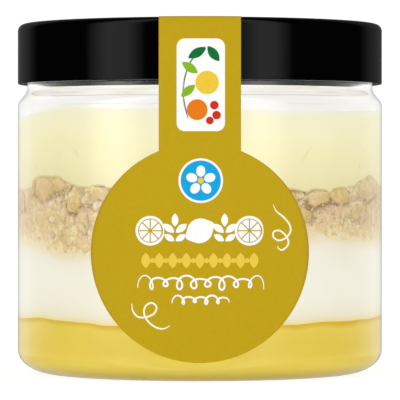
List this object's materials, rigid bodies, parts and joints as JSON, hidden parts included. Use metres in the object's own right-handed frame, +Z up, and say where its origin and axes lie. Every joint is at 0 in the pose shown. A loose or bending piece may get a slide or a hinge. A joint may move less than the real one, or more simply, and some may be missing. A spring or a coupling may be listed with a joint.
{
  "type": "layered trifle in a lidded jar",
  "caption": "Lemon trifle in a clear round jar: curd, cream, biscuit crumb and lemon cream in layers, under a smooth screw lid sealed by a round label with a strip.",
  "frame": {"origin": "middle of the jar's foot", "axes": "+Z up; the label faces -Y; +X is to the right as the label is seen"},
  "size_m": [0.085, 0.0862, 0.0819],
  "materials": {
    "clear_jar": "clear, glossy",
    "black_lid": "satin gloss",
    "gold_label": "matt printed film",
    "curd": "smooth, moist",
    "white_cream": "soft, matt",
    "crumb": "rough, dry",
    "pale_cream": "soft, matt"
  },
  "bodies": {
    "root": {"jar": "clear_jar", "lid": "black_lid", "label": "gold_label", "lemon_curd": "curd", "cream": "white_cream", "biscuit_crumb": "crumb", "lemon_cream": "pale_cream"}
  },
  "joints": []
}
